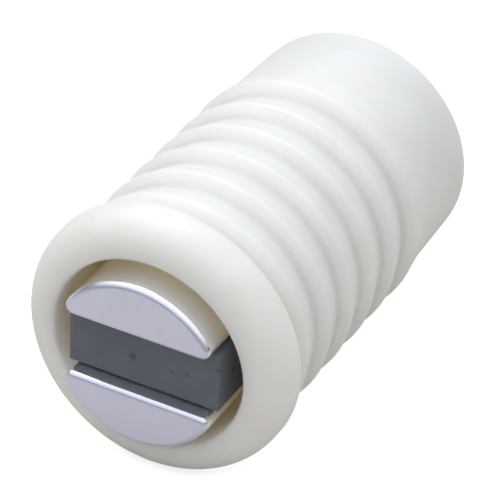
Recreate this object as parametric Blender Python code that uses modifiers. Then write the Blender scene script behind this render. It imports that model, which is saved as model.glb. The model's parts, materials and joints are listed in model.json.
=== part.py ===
"""Press-in barrel magnetic catch: a barbed plastic barrel that holds a floating magnet and two poles.

The barrel lies along Y. The collar and the pole faces look towards -Y and the closed rear looks
towards +Y. The origin is on the barrel's axis, in the plane of the collar's seat, which is the plane
of the panel's surface once the catch is pressed into its hole.
"""

import math

import bmesh
import bpy

OBJECT_NAME = "magnetic_catch"
MM = 0.001
SEGMENTS = 48  # sides of every turned piece

# Driving dimensions, in millimetres. Depths run along +Y from the collar's seat.
HOLE_DIAMETER = 14.0  # drilled hole that the barrel is pressed into
BARB_BITE = 0.2  # how far each barb's crest stands into the wall of the hole
BARB_COUNT = 6
BARB_PITCH = 2.5
BARB_HEIGHT = 0.6
BARREL_DEPTH = 21.5
COLLAR_DIAMETER = 15.3
COLLAR_HEIGHT = 2.5
MOUTH_DIAMETER = 11.0
POLE_STAND_OUT = 1.2  # how far the pole faces stand in front of the collar
MAGNET_THICKNESS = 3.6
FLOAT_TRAVEL = 0.8  # how far the magnet can be pushed in
SLIP_TRAVEL = 0.4  # how far each pole can slip back on the magnet

# Barrel, outside.
CREST_R = HOLE_DIAMETER / 2 + BARB_BITE
VALLEY_R = CREST_R - BARB_HEIGHT
FIRST_VALLEY = 0.9
BARB_RISE = 0.67  # length of a barb's steep side
BARB_LAND = 0.1  # length of the flat on a barb's crest
SLEEVE_START = 16.4
SLEEVE_FRONT_R = 6.88
SLEEVE_REAR_R = 6.72
REAR_CORNER = 0.75
COLLAR_R = COLLAR_DIAMETER / 2
COLLAR_RIM = 0.6  # length of the collar's straight rim
SEAT_CHAMFER = 0.12
SEAT_INNER_R = CREST_R + 0.05  # the seat's flat ring lies outside the barbs
SEAT_RELIEF = 0.15  # shallow groove inside the ring, so that raised wood can't lift the collar
DOME_R = 5.9  # where the collar's dome meets its flat front
MOUTH_R = MOUTH_DIAMETER / 2
MOUTH_EDGE = 0.25

# Barrel, inside.
MOUTH_DEPTH = 0.2
LIP_START = 0.9
LIP_END = 2.0
LIP_R = 5.05
CAVITY_R = 5.55
CAP_SEAT_DEPTH = 18.9
CAP_BORE_R = 5.8

# Poles and magnet.
STACK_CLEARANCE = 0.2  # side clearance of the poles in the lip and in the cavity
TOUCH_GAP = 0.05  # gap kept between pieces that touch
FLAT_GAP = 0.03  # gap kept between a pole and the magnet
POLE_R = LIP_R - STACK_CLEARANCE
SHOULDER_R = CAVITY_R - STACK_CLEARANCE
POLE_FRONT = -COLLAR_HEIGHT - POLE_STAND_OUT
REAR_CLEARANCE = 0.4  # left between the poles and the cap when all is pushed in
POLE_REAR = CAP_SEAT_DEPTH - FLOAT_TRAVEL - SLIP_TRAVEL - REAR_CLEARANCE
POLE_EDGE = 0.22
MAGNET_RECESS = 0.9  # how far the magnet's face sits behind the pole faces
MAGNET_WIDTH = 8.8
MAGNET_REAR = 16.2
MAGNET_EDGE = 0.15

# Rear cap.
CAP_R = CAP_BORE_R - TOUCH_GAP
CAP_REAR = BARREL_DEPTH - 0.2
CAP_EDGE = 0.3
CAP_DISH_R = 4.2
CAP_DISH_DEPTH = 0.5
CAP_VENT_R = 0.8


def make_material(name, color, roughness, metallic):
    material = bpy.data.materials.new(name)
    material.use_nodes = True
    shader = material.node_tree.nodes["Principled BSDF"]
    shader.inputs["Base Color"].default_value = (*color, 1.0)
    shader.inputs["Roughness"].default_value = roughness
    shader.inputs["Metallic"].default_value = metallic
    return material


def make_collection(name):
    collection = bpy.data.collections.new(name)
    bpy.context.scene.collection.children.link(collection)
    return collection


def add_object(name, mesh, collection, material=None):
    piece = bpy.data.objects.new(name, mesh)
    collection.objects.link(piece)
    if material:
        mesh.materials.append(material)
    return piece


def arc(centre, reach, start, end, steps):
    """Points of an elliptical arc in the (radius, depth) plane; 90 degrees points to the front."""
    points = []
    for step in range(steps + 1):
        angle = math.radians(start + (end - start) * step / steps)
        radius = centre[0] + reach[0] * math.cos(angle)
        depth = centre[1] - reach[1] * math.sin(angle)
        points.append((radius, depth))
    return points


def turned_piece(name, outline, closed, collection, material):
    """Turn an outline of (radius, depth) points about the barrel's axis.

    The outline runs along its outer side from front to rear. Its plane is the piece's own XZ, with
    +Z to the front, and the piece is then laid down so that its front looks towards -Y.
    """
    mesh = bpy.data.meshes.new(name)
    shape = bmesh.new()
    verts = [shape.verts.new((radius * MM, 0.0, -depth * MM)) for radius, depth in outline]
    for first, second in zip(verts, verts[1:]):
        shape.edges.new((first, second))
    if closed:
        shape.edges.new((verts[-1], verts[0]))
    shape.to_mesh(mesh)
    shape.free()
    piece = add_object(name, mesh, collection, material)
    piece.rotation_euler = (math.radians(90), 0, 0)
    screw = piece.modifiers.new("turn", "SCREW")
    screw.steps = SEGMENTS
    screw.render_steps = SEGMENTS
    screw.use_merge_vertices = True
    screw.merge_threshold = 0.00001
    return piece


def round_edges(piece, width, segments, angle):
    bevel = piece.modifiers.new("round_edges", "BEVEL")
    bevel.width = width * MM
    bevel.segments = segments
    bevel.limit_method = "ANGLE"
    bevel.angle_limit = math.radians(angle)


def box_mesh(name, low, high):
    """A box between two corners given in millimetres."""
    mesh = bpy.data.meshes.new(name)
    shape = bmesh.new()
    bmesh.ops.create_cube(shape, size=1.0)
    for vert in shape.verts:
        for axis in range(3):
            middle = (low[axis] + high[axis]) / 2
            vert.co[axis] = (middle + vert.co[axis] * (high[axis] - low[axis])) * MM
    shape.to_mesh(mesh)
    shape.free()
    return mesh


def barb_outline():
    """Six barbs: a steep side that faces the collar, a narrow crest and a long ramp to the rear."""
    points = []
    for number in range(BARB_COUNT):
        valley = FIRST_VALLEY + number * BARB_PITCH
        crest = valley + BARB_RISE
        points += [(VALLEY_R, valley), (CREST_R, crest), (CREST_R, crest + BARB_LAND)]
    return points


def make_barrel(collection, material):
    front = -COLLAR_HEIGHT
    mouth_edge = arc((MOUTH_R + MOUTH_EDGE, front + MOUTH_EDGE), (MOUTH_EDGE, MOUTH_EDGE), 180, 90, 3)
    dome_reach = (COLLAR_R - DOME_R, COLLAR_HEIGHT - COLLAR_RIM)
    dome = arc((DOME_R, -COLLAR_RIM), dome_reach, 90, 0, 8)
    seat = [
        (COLLAR_R, -SEAT_CHAMFER),
        (COLLAR_R - SEAT_CHAMFER, 0),
        (SEAT_INNER_R, 0),
        (SEAT_INNER_R - SEAT_RELIEF, -SEAT_RELIEF),
        (VALLEY_R, -SEAT_RELIEF),
    ]
    sleeve = [(SLEEVE_FRONT_R, SLEEVE_START)]
    corner_centre = (SLEEVE_REAR_R - REAR_CORNER, BARREL_DEPTH - REAR_CORNER)
    rear_corner = arc(corner_centre, (REAR_CORNER, REAR_CORNER), 0, -90, 4)
    inside = [
        (CAP_BORE_R, BARREL_DEPTH),
        (CAP_BORE_R, CAP_SEAT_DEPTH),
        (CAVITY_R, CAP_SEAT_DEPTH),
        (CAVITY_R, LIP_END),
        (LIP_R, LIP_END),
        (LIP_R, LIP_START),
        (MOUTH_R, MOUTH_DEPTH),
    ]
    outline = mouth_edge + dome + seat + barb_outline() + sleeve + rear_corner + inside
    return turned_piece("barrel_housing", outline, True, collection, material)


def make_rear_cap(collection, material):
    front = CAP_SEAT_DEPTH + TOUCH_GAP
    outline = [
        (CAP_VENT_R, front),
        (CAP_R - CAP_EDGE, front),
        (CAP_R, front + CAP_EDGE),
        (CAP_R, CAP_REAR - CAP_EDGE),
        (CAP_R - CAP_EDGE, CAP_REAR),
        (CAP_DISH_R, CAP_REAR),
        (CAP_DISH_R - CAP_DISH_DEPTH, CAP_REAR - CAP_DISH_DEPTH),
        (CAP_VENT_R, CAP_REAR - CAP_DISH_DEPTH),
    ]
    return turned_piece("rear_cap", outline, True, collection, material)


def make_pole_plate(name, turn, half_space, collection, material):
    """One D-shaped steel plate: a turned bar with a shoulder, kept only beyond the magnet's flat."""
    shoulder_front = LIP_END + TOUCH_GAP
    outline = [
        (0, POLE_FRONT),
        (POLE_R, POLE_FRONT),
        (POLE_R, shoulder_front),
        (SHOULDER_R, shoulder_front),
        (SHOULDER_R, POLE_REAR),
        (0, POLE_REAR),
    ]
    plate = turned_piece(name, outline, False, collection, material)
    plate.rotation_euler = (math.radians(90), math.radians(turn), 0)
    keep = plate.modifiers.new("keep_one_side", "BOOLEAN")
    keep.operation = "INTERSECT"
    keep.object = half_space
    round_edges(plate, POLE_EDGE, 3, 40)
    return plate


def make_half_space(name, side, collection):
    """The cutter that holds all the space beyond one flat of the magnet."""
    inner = MAGNET_THICKNESS / 2
    outer = SHOULDER_R + 2
    heights = sorted((side * inner, side * outer))
    low = (-outer, POLE_FRONT - 2, heights[0])
    high = (outer, POLE_REAR + 2, heights[1])
    cutter = add_object(name, box_mesh(name, low, high), collection)
    cutter.hide_render = True
    cutter.display_type = "WIRE"
    return cutter


def make_magnet(collection, material):
    half_width = MAGNET_WIDTH / 2
    half_height = MAGNET_THICKNESS / 2 - FLAT_GAP
    low = (-half_width, POLE_FRONT + MAGNET_RECESS, -half_height)
    high = (half_width, MAGNET_REAR, half_height)
    magnet = add_object("magnet_block", box_mesh("magnet_block", low, high), collection, material)
    round_edges(magnet, MAGNET_EDGE, 2, 40)
    return magnet


def main():
    for old in list(bpy.data.objects):
        bpy.data.objects.remove(old, do_unlink=True)
    parts = make_collection(OBJECT_NAME)
    cutters = make_collection("cutters")
    white_plastic = make_material("white_plastic", (0.86, 0.86, 0.84), 0.38, 0.0)
    cap_plastic = make_material("cap_plastic", (0.82, 0.82, 0.80), 0.42, 0.0)
    magnet_grey = make_material("magnet_grey", (0.09, 0.105, 0.12), 0.55, 0.0)
    make_barrel(parts, white_plastic)
    make_rear_cap(parts, cap_plastic)
    for name, side, turn in (("upper_pole_plate", 1, 0), ("lower_pole_plate", -1, 180)):
        plated_steel = make_material(name + "_steel", (0.70, 0.70, 0.74), 0.32, 1.0)
        half_space = make_half_space(name + "_cutter", side, cutters)
        make_pole_plate(name, turn, half_space, parts, plated_steel)
    make_magnet(parts, magnet_grey)


main()
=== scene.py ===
# %% [markdown]
# # A press-in barrel magnetic catch
# A barrel catch is pressed into a round hole in the edge of a cabinet. A barbed plastic barrel
# grips the wood, and a magnet between two steel pole plates looks out of its mouth and holds the
# door. The engineering model comes first and gives every size and every joint. This script then
# makes the surfaces that an eye would check: soft moulded edges, plated steel, pressed ferrite
# and the light.

# %% Load the engineering model
import json
import math

import bmesh
import bpy
from mathutils import Matrix, Vector

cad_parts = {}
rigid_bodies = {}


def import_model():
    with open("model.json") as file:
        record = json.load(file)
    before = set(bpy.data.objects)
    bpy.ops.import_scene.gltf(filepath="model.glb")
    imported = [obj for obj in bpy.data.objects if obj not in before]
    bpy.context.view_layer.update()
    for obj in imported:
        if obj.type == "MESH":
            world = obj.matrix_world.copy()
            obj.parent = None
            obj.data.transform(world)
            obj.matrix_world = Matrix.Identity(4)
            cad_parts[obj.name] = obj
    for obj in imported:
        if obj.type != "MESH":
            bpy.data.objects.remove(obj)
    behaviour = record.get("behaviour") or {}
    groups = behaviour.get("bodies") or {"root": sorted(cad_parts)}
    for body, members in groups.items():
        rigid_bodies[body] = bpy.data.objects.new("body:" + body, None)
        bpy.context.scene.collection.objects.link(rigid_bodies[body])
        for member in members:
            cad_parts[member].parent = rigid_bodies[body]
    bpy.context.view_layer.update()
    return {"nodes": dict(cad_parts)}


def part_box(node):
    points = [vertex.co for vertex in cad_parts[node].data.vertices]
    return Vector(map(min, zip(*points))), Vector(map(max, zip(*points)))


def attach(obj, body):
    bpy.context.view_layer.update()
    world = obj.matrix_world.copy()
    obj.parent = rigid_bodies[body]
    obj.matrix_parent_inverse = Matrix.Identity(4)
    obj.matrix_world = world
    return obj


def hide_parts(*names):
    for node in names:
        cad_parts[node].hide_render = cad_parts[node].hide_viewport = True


for old in list(bpy.data.objects):
    bpy.data.objects.remove(old, do_unlink=True)
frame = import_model()
print("nodes:", ", ".join(frame["nodes"]))

# %% [markdown]
# ## Sizes
# All lengths below are in millimetres, because a catch is drawn in millimetres, and MM turns them
# into metres. The outside sizes are read from the engineering model. The rest are the sizes of
# the moulding and of the plates that the model's boxes can't give, such as wall, lip and edge
# radii.

# %% Named sizes
MM = 0.001
housing_low, housing_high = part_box("barrel_housing")
cap_low, cap_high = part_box("rear_cap")
pole_low, pole_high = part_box("upper_pole_plate")
magnet_low, magnet_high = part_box("magnet_block")

COLLAR_R = housing_high[0] / MM
COLLAR_FRONT = housing_low[1] / MM
BARREL_REAR = housing_high[1] / MM
COLLAR_RIM = 0.6
SEAT_CHAMFER = 0.12
SEAT_RELIEF = 0.15
DOME_R = 5.95
MOUTH_R = 5.5
MOUTH_EDGE = 0.25

BARB_COUNT = 6
BARB_PITCH = 2.5
BARB_RISE = 0.67
FIRST_VALLEY = 0.9
VALLEY_R = 6.6
CREST_R = 7.2
SEAT_INNER_R = CREST_R + 0.05
SLEEVE_START = 16.4
SLEEVE_FRONT_R = 6.88
SLEEVE_REAR_R = 6.72
REAR_CORNER = 0.75

MOUTH_DEPTH = 0.2
LIP_START = 0.9
LIP_END = 2.0
LIP_R = 5.05
CAVITY_R = 5.55
CAP_SEAT = 18.9
CAP_BORE_R = 5.8
print("collar", round(2 * COLLAR_R, 2), "mm across")
print("barrel", round(BARREL_REAR - COLLAR_FRONT, 2), "mm long")

# %% [markdown]
# ## Small helpers
# Blender's operators act on whatever is selected. So every step starts by clearing the selection
# and then picks vertices, edges or faces in code, by where they are or which way they look.

# %% Selection and finishing helpers
def clear_selection():
    """Leave edit mode and deselect every object."""
    if bpy.context.object and bpy.context.object.mode != "OBJECT":
        bpy.ops.object.mode_set(mode="OBJECT")
    bpy.ops.object.select_all(action="DESELECT")


def edit(piece, kind):
    """Open a piece in edit mode with nothing selected, ready to pick VERT, EDGE or FACE."""
    clear_selection()
    bpy.context.view_layer.objects.active = piece
    piece.select_set(True)
    bpy.ops.object.mode_set(mode="EDIT")
    bpy.ops.mesh.select_mode(type=kind)
    bpy.ops.mesh.select_all(action="DESELECT")


def pick(piece, kind, test):
    """Select the parts of an open mesh for which test(part) is true, and count them."""
    shape = bmesh.from_edit_mesh(piece.data)
    parts = {"VERT": shape.verts, "EDGE": shape.edges, "FACE": shape.faces}[kind]
    count = 0
    for part in parts:
        chosen = bool(test(part))
        part.select_set(chosen)
        count += chosen
    bmesh.update_edit_mesh(piece.data)
    return count


def middle(edge):
    return (edge.verts[0].co + edge.verts[1].co) / 2


def off_axis(point):
    """Distance of a point from the barrel's axis, in millimetres."""
    return math.hypot(point.x, point.z) / MM


def place_in_mesh(piece):
    """Put a new primitive's place and turn into its mesh, so that its object sits at the origin."""
    clear_selection()
    bpy.context.view_layer.objects.active = piece
    piece.select_set(True)
    bpy.ops.object.transform_apply(location=True, rotation=True, scale=True)


def apply_modifiers(piece):
    clear_selection()
    bpy.context.view_layer.objects.active = piece
    piece.select_set(True)
    for modifier in list(piece.modifiers):
        bpy.ops.object.modifier_apply(modifier=modifier.name)


def shade(piece, degrees):
    """Smooth shading that keeps a crease wherever two faces meet at more than this angle."""
    clear_selection()
    bpy.context.view_layer.objects.active = piece
    piece.select_set(True)
    bpy.ops.object.shade_smooth_by_angle(angle=math.radians(degrees))


def report(piece):
    piece.data.calc_loop_triangles()
    print(piece.name, "has", len(piece.data.loop_triangles), "triangles")


# %% [markdown]
# ## Camera, floor and light
# The catch lies on its side, resting on the rim of its collar and on its last barb, as it would
# on a table. A long lens from a little above keeps its barrel nearly parallel. The light is a
# white tent: a large soft light above and to the left, a glow that grows towards the roof, and a
# dark band round the horizon, where the tent ends. That band draws the thin dark lines on the
# rounded steel edges. The paper looks white to the camera, but it bounces less light than white
# paper would, and a warmer light, because the undersides of the moulding should be darker and
# warmer than its top.

# %% Camera
def look_from(azimuth, elevation, roll, distance, aim, lens):
    """A camera at a compass angle, a height angle and a distance in millimetres from its aim."""
    flat = math.cos(math.radians(elevation))
    away = Vector((
        flat * math.sin(math.radians(azimuth)),
        -flat * math.cos(math.radians(azimuth)),
        math.sin(math.radians(elevation)),
    ))
    data = bpy.data.cameras.new("camera")
    data.lens = lens
    data.sensor_width = 36
    data.clip_start = 0.005
    camera = bpy.data.objects.new("camera", data)
    bpy.context.scene.collection.objects.link(camera)
    turn = (-away).to_track_quat("-Z", "Y").to_matrix().to_4x4()
    place = Matrix.Translation((Vector(aim) + away * distance) * MM)
    camera.matrix_world = place @ turn @ Matrix.Rotation(math.radians(roll), 4, "Z")
    return camera


camera = look_from(
    azimuth=26.95, elevation=34.85, roll=2.6, distance=185.5, aim=(0.2, 8.2, 0.22), lens=252)
bpy.context.scene.camera = camera
print("camera at", [round(value, 4) for value in camera.location])

# %% Floor
FLOOR_SIZE = 3  # metres
PAPER_SEEN = (0.86, 0.86, 0.86)
PAPER_GLOW = 0.65
PAPER_BOUNCE = (0.59, 0.56, 0.52)


def principled(name):
    """A new material and its Principled shader."""
    material = bpy.data.materials.new(name)
    material.use_nodes = True
    return material, material.node_tree.nodes["Principled BSDF"]


def camera_or_bounce(tree, for_bounce, for_camera, output):
    """Show the camera one shader and give all other light paths another."""
    path = tree.nodes.new("ShaderNodeLightPath")
    choose = tree.nodes.new("ShaderNodeMixShader")
    tree.links.new(path.outputs["Is Camera Ray"], choose.inputs["Fac"])
    tree.links.new(for_bounce, choose.inputs[1])
    tree.links.new(for_camera, choose.inputs[2])
    tree.links.new(choose.outputs["Shader"], output.inputs["Surface"])


LAST_CREST = FIRST_VALLEY + BARB_RISE + (BARB_COUNT - 1) * BARB_PITCH
floor_tilt = math.atan2(COLLAR_R - CREST_R, LAST_CREST + COLLAR_RIM)
floor_place = Vector((0, -COLLAR_RIM, -COLLAR_R)) * MM

clear_selection()
bpy.ops.mesh.primitive_plane_add(size=FLOOR_SIZE, location=floor_place, rotation=(floor_tilt, 0, 0))
floor = bpy.context.object
floor.name = "floor"
place_in_mesh(floor)
paper, shader = principled("white_paper")
shader.inputs["Base Color"].default_value = (*PAPER_SEEN, 1)
shader.inputs["Roughness"].default_value = 1.0
shader.inputs["Specular IOR Level"].default_value = 0.0
shader.inputs["Emission Color"].default_value = (1, 1, 1, 1)
shader.inputs["Emission Strength"].default_value = PAPER_GLOW
tree = paper.node_tree
bounce = tree.nodes.new("ShaderNodeBsdfDiffuse")
bounce.inputs["Color"].default_value = (*PAPER_BOUNCE, 1)
surface_output = tree.nodes["Material Output"]
camera_or_bounce(tree, bounce.outputs["BSDF"], shader.outputs["BSDF"], surface_output)
floor.data.materials.append(paper)
print("floor tilted", round(math.degrees(floor_tilt), 2), "degrees to meet collar and last barb")

# %% Key light
KEY_SIZE = 220
KEY_POWER = 0.21


def soft_light(name, place, aim, size, power):
    """A round soft light; place, aim and size are in millimetres, power in watts."""
    data = bpy.data.lights.new(name, "AREA")
    data.shape = "DISK"
    data.size = size * MM
    data.energy = power
    light = bpy.data.objects.new(name, data)
    bpy.context.scene.collection.objects.link(light)
    light.location = Vector(place) * MM
    light.rotation_euler = (Vector(aim) - Vector(place)).to_track_quat("-Z", "Y").to_euler()
    return light


soft_light("key", place=(-118, 75, 275), aim=(0, 6, 0), size=KEY_SIZE, power=KEY_POWER)

# %% [markdown]
# ### Tent
# Plated steel shows whatever stands round it, so the tent is drawn by height: dark at the
# horizon, then quickly bright, and brightest overhead. It could be a lit dome of mesh, but a
# colour ramp on the world's direction does the same with nothing in the way of the camera. The
# camera itself sees a plain white backdrop.

# %% Tent
BACKDROP = (1.0, 1.0, 1.0)
TENT_GLOW = (  # the tent's colour by height, from 0 at the horizon to 1 straight overhead
    (0.0, (0.02, 0.02, 0.025)),
    (0.2, (0.06, 0.06, 0.06)),
    (0.42, (0.95, 0.95, 0.95)),
    (1.0, (1.2, 1.2, 1.2)),
)

world = bpy.data.worlds.new("tent")
bpy.context.scene.world = world
world.use_nodes = True
tent = world.node_tree
sky = tent.nodes["Background"]
direction = tent.nodes.new("ShaderNodeTexCoord")
split = tent.nodes.new("ShaderNodeSeparateXYZ")
ramp = tent.nodes.new("ShaderNodeValToRGB")
tent.links.new(direction.outputs["Generated"], split.inputs[0])
tent.links.new(split.outputs["Z"], ramp.inputs["Fac"])
tent.links.new(ramp.outputs["Color"], sky.inputs["Color"])
stops = ramp.color_ramp.elements
for height, _ in TENT_GLOW[1:-1]:
    stops.new(height)
for stop, (height, glow) in zip(stops, TENT_GLOW):
    stop.position = height
    stop.color = (*glow, 1)
backdrop = tent.nodes.new("ShaderNodeBackground")
backdrop.inputs["Color"].default_value = (*BACKDROP, 1)
world_output = tent.nodes["World Output"]
camera_or_bounce(tent, sky.outputs["Background"], backdrop.outputs["Background"], world_output)
bpy.context.scene.view_settings.view_transform = "Standard"

# %% [markdown]
# ## Barrel
# The barrel is one white nylon moulding: a domed collar, six barbs with a steep side towards the
# collar, and a plain sleeve. It could be a lathe profile, but growing it ring by ring is easier
# to change by hand: one circle is extruded from point to point along the wall and scaled at each
# step. Sharp drawing corners are then bevelled, because a mould never fills a knife edge.

# %% The barrel's wall
BARREL_SIDES = 192
CREST_ROUND = 0.2
VALLEY_ROUND = 0.16
SLEEVE_ROUND = 0.15
CREASE_ANGLE = 40
MERGE = 0.000001  # metres within which two vertices are one
LEVEL = 0.00001  # metres within which two ends of an edge are at one depth
NEAR = 0.02  # millimetres within which an edge counts as lying on a ring


def arc(centre, reach, start, end, steps):
    """Points of an arc in the (radius, depth) plane; 90 degrees points to the front."""
    points = []
    for step in range(steps + 1):
        angle = math.radians(start + (end - start) * step / steps)
        radius = centre[0] + reach[0] * math.cos(angle)
        points.append((radius, centre[1] - reach[1] * math.sin(angle)))
    return points


def grow_rings(name, outline, sides):
    """Extrude one circle along a closed outline of (radius, depth) points, in millimetres."""
    clear_selection()
    radius, depth = outline[0]
    start = (0, depth * MM, 0)
    bpy.ops.mesh.primitive_circle_add(
        vertices=sides, radius=radius * MM, location=start, rotation=(math.radians(90), 0, 0))
    piece = bpy.context.object
    piece.name = name
    piece.data.name = name
    place_in_mesh(piece)
    edit(piece, "EDGE")
    bpy.ops.mesh.select_all(action="SELECT")
    path = outline + outline[:1]
    for (radius, depth), (next_radius, next_depth) in zip(path, path[1:]):
        step = (0, (next_depth - depth) * MM, 0)
        bpy.ops.mesh.extrude_region_move(TRANSFORM_OT_translate={"value": step})
        scale = next_radius / radius
        centre = (0, next_depth * MM, 0)
        bpy.ops.transform.resize(value=(scale, 1, scale), center_override=centre)
    bpy.ops.mesh.select_all(action="SELECT")
    bpy.ops.mesh.remove_doubles(threshold=MERGE)
    bpy.ops.mesh.normals_make_consistent(inside=False)
    bpy.ops.object.mode_set(mode="OBJECT")
    return piece


def bevel_rings(piece, rings, width, segments):
    """Round the whole edge rings that lie at the given (radius, depth) points."""
    edit(piece, "EDGE")

    def on_ring(edge):
        here = middle(edge)
        level = abs(edge.verts[0].co.y - edge.verts[1].co.y) < LEVEL
        near = [abs(off_axis(here) - r) < NEAR and abs(here.y / MM - d) < NEAR for r, d in rings]
        return level and any(near)

    count = pick(piece, "EDGE", on_ring)
    bpy.ops.mesh.bevel(offset=width * MM, segments=segments, affect="EDGES")
    bpy.ops.object.mode_set(mode="OBJECT")
    return count


barbs = []
crests = []
valleys = []
for number in range(BARB_COUNT):
    valley = (VALLEY_R, FIRST_VALLEY + number * BARB_PITCH)
    crest = (CREST_R, valley[1] + BARB_RISE)
    barbs += [valley, crest]
    valleys.append(valley)
    crests.append(crest)

mouth_corner = (MOUTH_R + MOUTH_EDGE, COLLAR_FRONT + MOUTH_EDGE)
mouth_edge = arc(mouth_corner, (MOUTH_EDGE, MOUTH_EDGE), 180, 90, 6)
dome = arc((DOME_R, -COLLAR_RIM), (COLLAR_R - DOME_R, -COLLAR_FRONT - COLLAR_RIM), 90, 0, 16)
seat = [
    (COLLAR_R, -SEAT_CHAMFER),
    (COLLAR_R - SEAT_CHAMFER, 0),
    (SEAT_INNER_R, 0),
    (SEAT_INNER_R - SEAT_RELIEF, -SEAT_RELIEF),
    (VALLEY_R, -SEAT_RELIEF),
]
sleeve = [(SLEEVE_FRONT_R, SLEEVE_START)]
corner = (SLEEVE_REAR_R - REAR_CORNER, BARREL_REAR - REAR_CORNER)
rear_corner = arc(corner, (REAR_CORNER, REAR_CORNER), 0, -90, 8)
inside = [
    (CAP_BORE_R, BARREL_REAR),
    (CAP_BORE_R, CAP_SEAT),
    (CAVITY_R, CAP_SEAT),
    (CAVITY_R, LIP_END),
    (LIP_R, LIP_END),
    (LIP_R, LIP_START),
    (MOUTH_R, MOUTH_DEPTH),
]
wall = mouth_edge + dome + seat + barbs + sleeve + rear_corner + inside
barrel = grow_rings("barrel_moulding", wall, BARREL_SIDES)
rounded = bevel_rings(barrel, crests, CREST_ROUND, 4)
rounded += bevel_rings(barrel, valleys, VALLEY_ROUND, 3)
rounded += bevel_rings(barrel, sleeve, SLEEVE_ROUND, 3)
shade(barrel, CREASE_ANGLE)
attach(barrel, "barrel")
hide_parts("barrel_housing")
print("rounded", rounded, "edges on the barrel")
report(barrel)

# %% [markdown]
# ## Pole plates
# Each pole is a steel bar of D section, flat where the magnet lies against it, with a shoulder
# that stops it behind the barrel's lip. It could be a round bar sliced flat, but a bevel can't
# follow the narrow strips at the tips of such a slice. So a circle is bent into the D first, and
# that ring is extruded along the bar: small steps round the front edge, two for the shoulder,
# small steps at the back. The plates are tumbled before they are plated, so the edges of both
# ends and the tips are round, and the front ones draw a bright line.

# %% One pole plate, and its twin
POLE_R = 4.85
SHOULDER_R = 5.35
TOUCH_GAP = 0.05
SHOULDER_FRONT = LIP_END + TOUCH_GAP
SHOULDER_SLOPE = 0.03
POLE_FRONT = pole_low[1] / MM
POLE_REAR = pole_high[1] / MM
POLE_FLAT = pole_low[2] / MM
POLE_TIP = 0.5
POLE_EDGE = 0.34
FLAT_STEPS = 24
TIP_STEPS = 12
ARC_STEPS = 96
EDGE_STEPS = 6
POLE_CREASE = 50
SAME_PLACE = 0.002  # millimetres within which a vertex counts as lying at a place


def soften(piece, degrees):
    """Smooth shading in which the large flat faces keep their own direction."""
    shade(piece, degrees)
    modifier = piece.modifiers.new("flat_faces_lead", "WEIGHTED_NORMAL")
    modifier.keep_sharp = True
    apply_modifiers(piece)


def level_at(part, axis, place):
    """True if every vertex of an edge or face lies at this place along an axis, in millimetres."""
    return all(abs(vert.co[axis] / MM - place) < SAME_PLACE for vert in part.verts)


def d_outline(radius, inset):
    """Points (x, z) round a D section with round tips, drawn in from its edge by an inset."""
    tip_z = POLE_FLAT + POLE_TIP
    tip_x = math.sqrt((radius - POLE_TIP) ** 2 - tip_z ** 2)
    tangent = math.atan2(tip_z, tip_x)
    round_tip = POLE_TIP - inset
    points = []
    for step in range(FLAT_STEPS):
        points.append((tip_x * (2 * step / FLAT_STEPS - 1), POLE_FLAT + inset))
    for step in range(TIP_STEPS):
        angle = -math.pi / 2 + (tangent + math.pi / 2) * step / TIP_STEPS
        points.append((tip_x + round_tip * math.cos(angle), tip_z + round_tip * math.sin(angle)))
    for step in range(ARC_STEPS):
        angle = tangent + (math.pi - 2 * tangent) * step / ARC_STEPS
        points.append(((radius - inset) * math.cos(angle), (radius - inset) * math.sin(angle)))
    for step in range(TIP_STEPS):
        angle = math.pi - tangent + (tangent + math.pi / 2) * step / TIP_STEPS
        points.append((round_tip * math.cos(angle) - tip_x, tip_z + round_tip * math.sin(angle)))
    return points


def pole_rings():
    """The plate's sections from front to rear, as (depth, radius, inset)."""
    rounding = []
    for step in range(EDGE_STEPS + 1):
        angle = math.radians(90 * step / EDGE_STEPS)
        rounding.append((POLE_EDGE * (1 - math.cos(angle)), POLE_EDGE * (1 - math.sin(angle))))
    front = [(POLE_FRONT + back, POLE_R, inset) for back, inset in rounding]
    shoulder = [(SHOULDER_FRONT, POLE_R, 0), (SHOULDER_FRONT + SHOULDER_SLOPE, SHOULDER_R, 0)]
    rear = [(POLE_REAR - back, SHOULDER_R, inset) for back, inset in reversed(rounding)]
    return front + shoulder + rear


def move_ring(piece, depth, outline):
    """Move the selected ring onto an outline; each vertex remembers its own station."""
    shape = bmesh.from_edit_mesh(piece.data)
    station = shape.verts.layers.int["station"]
    for vert in shape.verts:
        if vert.select:
            x, z = outline[vert[station]]
            vert.co = Vector((x, depth, z)) * MM
    bmesh.update_edit_mesh(piece.data)


def make_pole(name):
    """A D-section bar with round tips, which widens to a shoulder behind the barrel's lip."""
    rings = pole_rings()
    count = len(d_outline(POLE_R, 0))
    clear_selection()
    bpy.ops.mesh.primitive_circle_add(
        vertices=count, radius=POLE_R * MM, rotation=(math.radians(90), 0, 0))
    pole = bpy.context.object
    pole.name = name
    pole.data.name = name
    place_in_mesh(pole)

    edit(pole, "EDGE")
    bpy.ops.mesh.select_all(action="SELECT")
    shape = bmesh.from_edit_mesh(pole.data)
    station = shape.verts.layers.int.new("station")
    for number, vert in enumerate(shape.verts):
        vert[station] = number
    bmesh.update_edit_mesh(pole.data)
    for number, (depth, radius, inset) in enumerate(rings):
        if number:
            bpy.ops.mesh.extrude_region_move(TRANSFORM_OT_translate={"value": (0, MM, 0)})
        move_ring(pole, depth, d_outline(radius, inset))
    for end in (POLE_FRONT, POLE_REAR):
        pick(pole, "EDGE", lambda edge: level_at(edge, 1, end))
        bpy.ops.mesh.edge_face_add()
    bpy.ops.mesh.select_all(action="SELECT")
    bpy.ops.mesh.normals_make_consistent(inside=False)
    bpy.ops.object.mode_set(mode="OBJECT")
    soften(pole, POLE_CREASE)
    return pole


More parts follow.
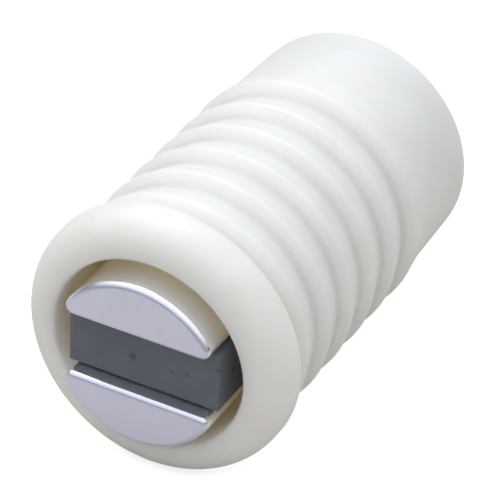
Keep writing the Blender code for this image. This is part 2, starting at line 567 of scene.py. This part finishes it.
def copy_of(piece, name):
    """A copy with its own mesh."""
    clear_selection()
    bpy.context.view_layer.objects.active = piece
    piece.select_set(True)
    bpy.ops.object.duplicate(linked=False)
    twin = bpy.context.object
    twin.name = name
    twin.data.name = name
    return twin


upper_pole = make_pole("upper_pole_plated")
lower_pole = copy_of(upper_pole, "lower_pole_plated")
lower_pole.rotation_euler = (0, math.radians(180), 0)
place_in_mesh(lower_pole)
for pole, body, node in (
    (upper_pole, "upper_pole", "upper_pole_plate"),
    (lower_pole, "lower_pole", "lower_pole_plate"),
):
    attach(pole, body)
    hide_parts(node)
    report(pole)

# %% [markdown]
# ## Magnet
# The magnet is a block of pressed and sintered ferrite, ground on its two large faces. Ferrite is
# brittle, so its corners are never sharp: they crumble a little. The block is a bevelled cube
# whose edges are cut into short lengths and then pushed inwards, here more and there less, by a
# fine noise, which leaves the ground faces flat.

# %% Magnet block
MAGNET_EDGE = 0.1
CHIP_SIZE = 0.22
CHIP_DEPTH = 0.07
WIDTH_CUTS = 40
HEIGHT_CUTS = 16
DEPTH_CUTS = 12
JUST_PAST = 1.01  # takes in the vertices that lie right on the edge's inner line


def make_magnet():
    clear_selection()
    low, high = Vector(magnet_low), Vector(magnet_high)
    bpy.ops.mesh.primitive_cube_add(size=1, location=(low + high) / 2)
    block = bpy.context.object
    block.name = "ferrite_block"
    block.data.name = "ferrite_block"
    block.scale = high - low
    place_in_mesh(block)

    edit(block, "EDGE")
    bpy.ops.mesh.select_all(action="SELECT")
    bpy.ops.mesh.bevel(offset=MAGNET_EDGE * MM, segments=3, affect="EDGES")
    for number in range(1, WIDTH_CUTS):
        step = (high.x - low.x) * number / WIDTH_CUTS
        bpy.ops.mesh.select_all(action="SELECT")
        bpy.ops.mesh.bisect(plane_co=(low.x + step, 0, 0), plane_no=(1, 0, 0))
    for number in range(1, HEIGHT_CUTS):
        step = (high.z - low.z) * number / HEIGHT_CUTS
        bpy.ops.mesh.select_all(action="SELECT")
        bpy.ops.mesh.bisect(plane_co=(0, 0, low.z + step), plane_no=(0, 0, 1))
    for number in range(1, DEPTH_CUTS):
        bpy.ops.mesh.select_all(action="SELECT")
        bpy.ops.mesh.bisect(plane_co=(0, low.y + number * CHIP_SIZE * MM, 0), plane_no=(0, 1, 0))
    bpy.ops.object.mode_set(mode="OBJECT")

    crumbly = block.vertex_groups.new(name="edges")
    inner_low = low + Vector((1, 1, 1)) * MAGNET_EDGE * MM * JUST_PAST
    inner_high = high - Vector((1, 1, 1)) * MAGNET_EDGE * MM * JUST_PAST
    for vert in block.data.vertices:
        outside = [
            vert.co[axis] < inner_low[axis] or vert.co[axis] > inner_high[axis]
            for axis in range(3)
        ]
        if sum(outside) > 1:
            crumbly.add([vert.index], 1.0, "REPLACE")
    grit = bpy.data.textures.new("grit", "CLOUDS")
    grit.noise_scale = CHIP_SIZE * MM
    chips = block.modifiers.new("chips", "DISPLACE")
    chips.texture = grit
    chips.vertex_group = "edges"
    chips.mid_level = 1.0
    chips.strength = CHIP_DEPTH * MM
    apply_modifiers(block)
    soften(block, CREASE_ANGLE)
    return block


magnet = make_magnet()
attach(magnet, "magnet")
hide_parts("magnet_block")
report(magnet)

# %% [markdown]
# ## Rear cap
# The cap is a plain plug, pressed in flush behind the magnet. Its back is dished to keep the
# moulding's wall even, has a small vent that lets air out, and carries three round marks where
# the mould's pins pushed it out.

# %% Rear cap
CAP_R = cap_high[0] / MM
CAP_FRONT = cap_low[1] / MM
CAP_REAR = cap_high[1] / MM
CAP_DISH_R = 4.2
CAP_DISH_DEPTH = 0.5
CAP_VENT_R = 0.8
PIN_MARK_R = 0.55
PIN_MARK_RING = 2.4
PIN_MARK_DEPTH = 0.12
PIN_MARK_COUNT = 3
PIN_MARK_SIDES = 40
CAP_EDGE = 0.2
CAP_SIDES = 128
DISH_ROUND = 0.15
VENT_ROUND = 0.08


def press_pin_mark(cap, angle):
    """Cut one shallow round mark into the floor of the dish, at an angle round the axis."""
    clear_selection()
    bpy.ops.mesh.primitive_cylinder_add(
        vertices=PIN_MARK_SIDES, radius=PIN_MARK_R * MM, depth=2 * PIN_MARK_DEPTH * MM,
        location=(PIN_MARK_RING * math.cos(angle) * MM, (CAP_REAR - CAP_DISH_DEPTH) * MM,
                  PIN_MARK_RING * math.sin(angle) * MM),
        rotation=(math.radians(90), 0, 0))
    pin = bpy.context.object
    place_in_mesh(pin)
    mark = cap.modifiers.new("pin_mark", "BOOLEAN")
    mark.operation = "DIFFERENCE"
    mark.object = pin
    apply_modifiers(cap)
    bpy.data.objects.remove(pin, do_unlink=True)


def make_cap():
    front_edge = arc((CAP_R - CAP_EDGE, CAP_FRONT + CAP_EDGE), (CAP_EDGE, CAP_EDGE), 90, 0, 4)
    rear_edge = arc((CAP_R - CAP_EDGE, CAP_REAR - CAP_EDGE), (CAP_EDGE, CAP_EDGE), 0, -90, 4)
    dish = [
        (CAP_DISH_R, CAP_REAR),
        (CAP_DISH_R - CAP_DISH_DEPTH, CAP_REAR - CAP_DISH_DEPTH),
        (CAP_VENT_R, CAP_REAR - CAP_DISH_DEPTH),
    ]
    outline = [(CAP_VENT_R, CAP_FRONT)] + front_edge + rear_edge + dish
    cap = grow_rings("rear_cap_moulding", outline, CAP_SIDES)
    bevel_rings(cap, dish[:2], DISH_ROUND, 4)
    bevel_rings(cap, dish[2:], VENT_ROUND, 2)
    for number in range(PIN_MARK_COUNT):
        press_pin_mark(cap, math.radians(90 + 360 * number / PIN_MARK_COUNT))
    shade(cap, CREASE_ANGLE)
    return cap


cap = make_cap()
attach(cap, "barrel")
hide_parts("rear_cap")
report(cap)

# %% [markdown]
# ## Materials
# Every finish is built from nodes that read the piece's own Object coordinates, so a pattern
# stays where it is on the piece. Effects that several finishes share are node groups: a fine
# moulded or plated skin, scratches, and how far a point lies from the barrel's axis and along it.
# A group puts out only values and masks. The shader, and every value that is the same all over,
# stays in the material.

# %% Node helpers
def add_node(tree, kind, **values):
    """A new node, with its inputs or its properties set by name."""
    node = tree.nodes.new(kind)
    for name, value in values.items():
        label = name.replace("_", " ")
        if label in node.inputs:
            node.inputs[label].default_value = value
        else:
            setattr(node, name, value)
    return node


def reckon(tree, operation, *values, clamp=False):
    """A Math node on its values, each a socket or a number, and its output."""
    node = tree.nodes.new("ShaderNodeMath")
    node.operation = operation
    node.use_clamp = clamp
    for slot, value in zip(node.inputs, values):
        if isinstance(value, (int, float)):
            slot.default_value = value
        else:
            tree.links.new(value, slot)
    return node.outputs[0]


def fade(tree, value, start, end):
    """0 at start and 1 at end, with a soft shoulder at both."""
    node = tree.nodes.new("ShaderNodeMapRange")
    node.interpolation_type = "SMOOTHSTEP"
    node.inputs["From Min"].default_value = start
    node.inputs["From Max"].default_value = end
    tree.links.new(value, node.inputs["Value"])
    return node.outputs["Result"]


def blend_colors(tree, mask, first, second):
    """Mix two colours, each a socket or a tuple, by a mask."""
    node = tree.nodes.new("ShaderNodeMix")
    node.data_type = "RGBA"
    tree.links.new(mask, node.inputs["Factor"])
    for slot, value in ((node.inputs[6], first), (node.inputs[7], second)):
        if isinstance(value, tuple):
            slot.default_value = (*value, 1)
        else:
            tree.links.new(value, slot)
    return node.outputs[2]


def new_group(name, inputs, outputs):
    """An empty shader node group with float inputs and outputs, and its two end nodes."""
    tree = bpy.data.node_groups.new(name, "ShaderNodeTree")
    tree.interface.new_socket(name="Place", in_out="INPUT", socket_type="NodeSocketVector")
    for label, default in inputs:
        socket = tree.interface.new_socket(
            name=label, in_out="INPUT", socket_type="NodeSocketFloat")
        socket.default_value = default
    for label in outputs:
        tree.interface.new_socket(name=label, in_out="OUTPUT", socket_type="NodeSocketFloat")
    return tree, tree.nodes.new("NodeGroupInput"), tree.nodes.new("NodeGroupOutput")


def use_group(tree, group, place, **values):
    """Place a node group in a material and feed it a position."""
    node = tree.nodes.new("ShaderNodeGroup")
    node.node_tree = group
    tree.links.new(place, node.inputs["Place"])
    for name, value in values.items():
        node.inputs[name].default_value = value
    return node


def object_place(tree):
    """The position on the piece, in millimetres."""
    coords = tree.nodes.new("ShaderNodeTexCoord")
    scale = tree.nodes.new("ShaderNodeVectorMath")
    scale.operation = "SCALE"
    scale.inputs["Scale"].default_value = 1 / MM
    tree.links.new(coords.outputs["Object"], scale.inputs[0])
    return scale.outputs[0]


# %% Shared effects
PEEL_SHARE = 0.35


def build_skin():
    """A moulded or plated skin: soft waves, and a fine peel on top of them."""
    tree, enter, leave = new_group("skin", [("Peel", 9.0), ("Wave", 0.5)], ["Height", "Tone"])
    peel = add_node(tree, "ShaderNodeTexNoise", Detail=4.0, Roughness=0.6)
    wave = add_node(tree, "ShaderNodeTexNoise", Detail=2.0, Roughness=0.5)
    for noise, label in ((peel, "Peel"), (wave, "Wave")):
        tree.links.new(enter.outputs["Place"], noise.inputs["Vector"])
        tree.links.new(enter.outputs[label], noise.inputs["Scale"])
    height = reckon(tree, "MULTIPLY_ADD", peel.outputs["Fac"], PEEL_SHARE, wave.outputs["Fac"])
    tree.links.new(height, leave.inputs["Height"])
    tree.links.new(wave.outputs["Fac"], leave.inputs["Tone"])
    return tree


def build_scratches():
    """Hairline scratches that run in two directions, and the mask of where they are."""
    tree, enter, leave = new_group("scratches", [("Density", 0.5)], ["Mask"])
    lines = []
    for turn, stretch in ((0.35, 0.5), (-0.9, 0.35)):
        mapping = add_node(tree, "ShaderNodeMapping")
        mapping.inputs["Rotation"].default_value = (0, turn, 0)
        mapping.inputs["Scale"].default_value = (stretch, 9.0, 16.0)
        noise = add_node(tree, "ShaderNodeTexNoise", Scale=1.2, Detail=3.0, Roughness=0.7)
        tree.links.new(enter.outputs["Place"], mapping.inputs["Vector"])
        tree.links.new(mapping.outputs["Vector"], noise.inputs["Vector"])
        lines.append(fade(tree, noise.outputs["Fac"], 0.62, 0.72))
    both = reckon(tree, "MAXIMUM", lines[0], lines[1])
    mask = reckon(tree, "MULTIPLY", both, enter.outputs["Density"], clamp=True)
    tree.links.new(mask, leave.inputs["Mask"])
    return tree


def build_axis_distance():
    """How far a point is from the barrel's axis, and how deep along it, in millimetres."""
    tree, enter, leave = new_group("axis_distance", [], ["Radius", "Depth"])
    parts = add_node(tree, "ShaderNodeSeparateXYZ")
    tree.links.new(enter.outputs["Place"], parts.inputs[0])
    across = reckon(tree, "MULTIPLY", parts.outputs["X"], parts.outputs["X"])
    upward = reckon(tree, "MULTIPLY", parts.outputs["Z"], parts.outputs["Z"])
    radius = reckon(tree, "SQRT", reckon(tree, "ADD", across, upward))
    tree.links.new(radius, leave.inputs["Radius"])
    tree.links.new(parts.outputs["Y"], leave.inputs["Depth"])
    return tree


skin = build_skin()
scratches = build_scratches()
axis_distance = build_axis_distance()
print("node groups:", ", ".join(group.name for group in bpy.data.node_groups))

# %% [markdown]
# ### White nylon
# Moulded nylon is white but a little translucent: light enters a thin edge and comes out warm.
# The wall is therefore given some subsurface scattering. Inside the mouth the base colour is
# painted tan: painted warm bounce light, standing for light bounced from wall to wall. The
# grooves of the barbs are painted darker and warmer: partly dust and wax, partly painted shade.

# %% White nylon for the barrel and the cap
BARREL_WHITE, BARREL_SHADED = (0.88, 0.88, 0.865), (0.85, 0.845, 0.825)
CAP_WHITE, CAP_SHADED = (0.84, 0.84, 0.82), (0.80, 0.80, 0.775)
BORE_PAINTED_BOUNCE, CAP_BORE = (1.0, 0.85, 0.72), (0.82, 0.82, 0.79)
GROOVE_DUST_AND_SHADE, DUST_AND_SHADE_AMOUNT = (0.68, 0.65, 0.57), 0.35
NYLON_ROUGHNESS, NYLON_PATCHES = 0.36, 0.12
NYLON_IOR = 1.5
LIGHT_THROUGH = 0.75
LIGHT_REACH = (1.0, 0.8, 0.62)  # red light travels furthest, which makes thin edges warm
BARREL_LIGHT_DEPTH, CAP_LIGHT_DEPTH = 3.5, 0.5


def bump(tree, shader, height, distance, strength):
    """Feed a height to the shader as relief; distance is in millimetres."""
    node = tree.nodes.new("ShaderNodeBump")
    node.inputs["Distance"].default_value = distance * MM
    node.inputs["Strength"].default_value = strength
    tree.links.new(height, node.inputs["Height"])
    tree.links.new(node.outputs["Normal"], shader.inputs["Normal"])


def white_nylon(name, white, shaded, in_bore, depth_of_light):
    """Satin white plastic; depth_of_light is how far light travels in it, in millimetres."""
    material, shader = principled(name)
    tree = material.node_tree
    place = object_place(tree)
    surface = use_group(tree, skin, place, Peel=6.0, Wave=0.35)
    where = use_group(tree, axis_distance, place)
    tint = blend_colors(tree, fade(tree, surface.outputs["Tone"], 0.35, 0.7), white, shaded)
    # Partly dust and partly painted shade: the grooves of the barbs are painted darker and warmer.
    in_groove = fade(tree, where.outputs["Radius"], VALLEY_R + 0.28, VALLEY_R - 0.02)
    on_barbs = fade(tree, where.outputs["Depth"], 0.0, 0.5)
    before_sleeve = fade(tree, where.outputs["Depth"], LAST_CREST + 1.0, LAST_CREST + 0.2)
    grooves = reckon(tree, "MULTIPLY", in_groove, reckon(tree, "MULTIPLY", on_barbs, before_sleeve))
    dust_and_shade = blend_colors(tree, reckon(tree, "MULTIPLY", grooves, DUST_AND_SHADE_AMOUNT), tint, GROOVE_DUST_AND_SHADE)
    # Painted warm bounce light: deep in the barrel's mouth the base colour turns to in_bore; for
    # the cap, in_bore is its own off-white.
    bore = fade(tree, where.outputs["Radius"], MOUTH_R + 0.3, MOUTH_R + 0.05)
    deep = fade(tree, where.outputs["Depth"], COLLAR_FRONT + 0.1, COLLAR_FRONT + 2.2)
    inner = blend_colors(tree, reckon(tree, "MULTIPLY", bore, deep), dust_and_shade, in_bore)
    tree.links.new(inner, shader.inputs["Base Color"])
    rough = reckon(tree, "MULTIPLY_ADD", surface.outputs["Tone"], NYLON_PATCHES, NYLON_ROUGHNESS)
    tree.links.new(rough, shader.inputs["Roughness"])
    shader.inputs["Subsurface Weight"].default_value = LIGHT_THROUGH
    shader.inputs["Subsurface Radius"].default_value = LIGHT_REACH
    shader.inputs["Subsurface Scale"].default_value = depth_of_light * MM
    shader.inputs["IOR"].default_value = NYLON_IOR
    bump(tree, shader, surface.outputs["Height"], 0.03, 0.35)
    return material


def dress(piece, material):
    piece.data.materials.clear()
    piece.data.materials.append(material)
    print(piece.name, "is finished in", material.name)


dress(barrel, white_nylon("white_nylon", BARREL_WHITE, BARREL_SHADED, BORE_PAINTED_BOUNCE, BARREL_LIGHT_DEPTH))
dress(cap, white_nylon("white_nylon_cap", CAP_WHITE, CAP_SHADED, CAP_BORE, CAP_LIGHT_DEPTH))

# %% [markdown]
# ### Plated steel
# The plates are mild steel with bright zinc on it. Zinc is a cool, slightly lavender grey. The
# rounded front edges and the sides are painted a brighter grey without that tint, a painted
# highlight. The ground end faces are duller than the tumbled edges, and carry hairline
# scratches from the strike plate.

# %% Plated steel for the poles
FACE_COOL, FACE_PALE = (0.735, 0.775, 0.985), (0.765, 0.80, 1.0)
EDGE_PAINTED_HIGHLIGHT, SIDE_NEUTRAL, HAIRLINE = (0.93, 0.95, 0.96), (0.93, 0.94, 0.92), (0.85, 0.85, 0.92)
HAIRLINE_AMOUNT, HAIRLINE_DEPTH = 0.3, 0.6
FACE_ROUGHNESS, EDGE_SHINE, STEEL_PATCHES = 0.36, -0.27, 0.08


def plated_steel():
    material, shader = principled("zinc_plated_steel")
    tree = material.node_tree
    place = object_place(tree)
    surface = use_group(tree, skin, place, Peel=14.0, Wave=0.6)
    where = use_group(tree, axis_distance, place)
    hairlines = use_group(tree, scratches, place, Density=0.5)
    behind_face = fade(tree, where.outputs["Depth"], POLE_FRONT + 0.05, POLE_FRONT + POLE_EDGE)
    towards_rear = fade(tree, where.outputs["Depth"], POLE_FRONT + 0.6, POLE_FRONT + 2.4)
    cool = blend_colors(tree, fade(tree, surface.outputs["Tone"], 0.3, 0.75), FACE_COOL, FACE_PALE)
    # Painted highlight: behind the flat face, the rounded edge and the sides are painted a
    # brighter, untinted grey.
    edge = blend_colors(tree, behind_face, cool, EDGE_PAINTED_HIGHLIGHT)
    neutral = blend_colors(tree, towards_rear, edge, SIDE_NEUTRAL)
    rubbed = reckon(tree, "MULTIPLY", hairlines.outputs["Mask"], HAIRLINE_AMOUNT)
    worn = blend_colors(tree, rubbed, neutral, HAIRLINE)
    tree.links.new(worn, shader.inputs["Base Color"])
    dull = reckon(tree, "MULTIPLY_ADD", behind_face, EDGE_SHINE, FACE_ROUGHNESS)
    patchy = reckon(tree, "MULTIPLY_ADD", surface.outputs["Tone"], STEEL_PATCHES, dull)
    tree.links.new(patchy, shader.inputs["Roughness"])
    shader.inputs["Metallic"].default_value = 1.0
    cut = reckon(tree, "MULTIPLY", hairlines.outputs["Mask"], HAIRLINE_DEPTH)
    lifted = reckon(tree, "SUBTRACT", surface.outputs["Height"], cut)
    bump(tree, shader, lifted, 0.01, 0.3)
    return material


steel = plated_steel()
dress(upper_pole, steel)
dress(lower_pole, steel)

# %% [markdown]
# ### Ferrite
# Sintered ferrite is a dark blue-grey ceramic with a dry, faintly granular surface. Grains that
# have fallen out leave small pits with ragged edges, painted dark as painted shade in their
# hollows, and rubbing leaves faint pale hairlines.

# %% Ferrite for the magnet
FERRITE_DARK, FERRITE_PALE = (0.112, 0.128, 0.162), (0.13, 0.147, 0.183)
FERRITE_RUBBED, FERRITE_PIT_SHADE = (0.17, 0.185, 0.21), (0.045, 0.05, 0.06)
FERRITE_ROUGHNESS, FERRITE_PATCHES = 0.5, 0.15
CELLS_PER_MM = 0.72
PIT_START, PIT_FULL, PIT_SHADE_AMOUNT = 0.31, 0.27, 0.65
RAGGEDNESS, RUB_AMOUNT = 0.3, 0.5


def ferrite():
    material, shader = principled("sintered_ferrite")
    tree = material.node_tree
    place = object_place(tree)
    surface = use_group(tree, skin, place, Peel=18.0, Wave=0.8)
    hairlines = use_group(tree, scratches, place, Density=0.6)
    cells = add_node(tree, "ShaderNodeTexVoronoi", Scale=CELLS_PER_MM, Randomness=1.0)
    tree.links.new(place, cells.inputs["Vector"])
    ragged = reckon(
        tree, "MULTIPLY_ADD", surface.outputs["Height"], RAGGEDNESS, cells.outputs["Distance"])
    pits = fade(tree, ragged, PIT_START, PIT_FULL)
    patches = fade(tree, surface.outputs["Tone"], 0.3, 0.7)
    base = blend_colors(tree, patches, FERRITE_DARK, FERRITE_PALE)
    rubs = reckon(tree, "MULTIPLY", hairlines.outputs["Mask"], RUB_AMOUNT)
    rubbed = blend_colors(tree, rubs, base, FERRITE_RUBBED)
    # Painted shade: the pits are painted dark, besides being sunk by the bump.
    pit_shaded = blend_colors(tree, reckon(tree, "MULTIPLY", pits, PIT_SHADE_AMOUNT), rubbed, FERRITE_PIT_SHADE)
    tree.links.new(pit_shaded, shader.inputs["Base Color"])
    rough = reckon(
        tree, "MULTIPLY_ADD", surface.outputs["Tone"], FERRITE_PATCHES, FERRITE_ROUGHNESS)
    tree.links.new(rough, shader.inputs["Roughness"])
    sunk = reckon(tree, "SUBTRACT", surface.outputs["Height"], pits)
    bump(tree, shader, sunk, 0.03, 0.4)
    return material


dress(magnet, ferrite())
